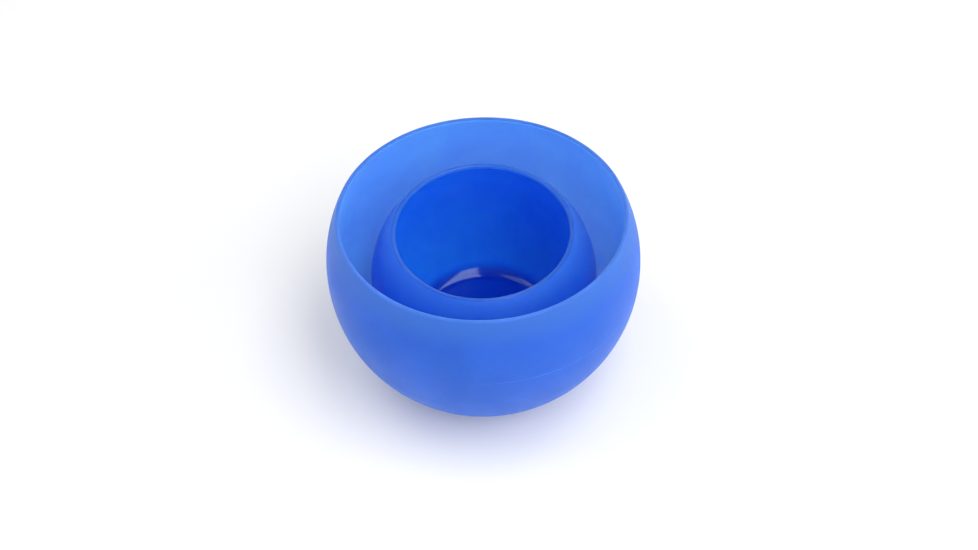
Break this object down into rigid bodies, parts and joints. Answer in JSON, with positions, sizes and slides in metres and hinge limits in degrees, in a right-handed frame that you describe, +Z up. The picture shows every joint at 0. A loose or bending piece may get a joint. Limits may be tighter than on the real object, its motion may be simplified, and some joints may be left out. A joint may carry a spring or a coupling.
{
  "type": "nested mixing bowl pair",
  "caption": "Flexible silicone laboratory mixing bowls shaped as truncated balls with in-curving rims and flat feet, a smaller bowl standing loose inside a larger one",
  "frame": {"origin": "middle of the large bowl's flat foot, on the surface it stands on", "axes": "+Z up along the large bowl's axis, -Y towards the front, which the small bowl leans to"},
  "size_m": [0.136, 0.136, 0.086],
  "materials": {
    "satin_silicone": "satin",
    "glossy_silicone": "satin outside, glossy inside"
  },
  "bodies": {
    "large_bowl": {"large_bowl": "satin_silicone"},
    "small_bowl": {"small_bowl": "glossy_silicone"}
  },
  "joints": [
    {"name": "small_bowl_lift", "type": "slide", "parent": "large_bowl", "child": "small_bowl", "axis": [0, 0, 1], "range_m": [0, 0.1]}
  ]
}
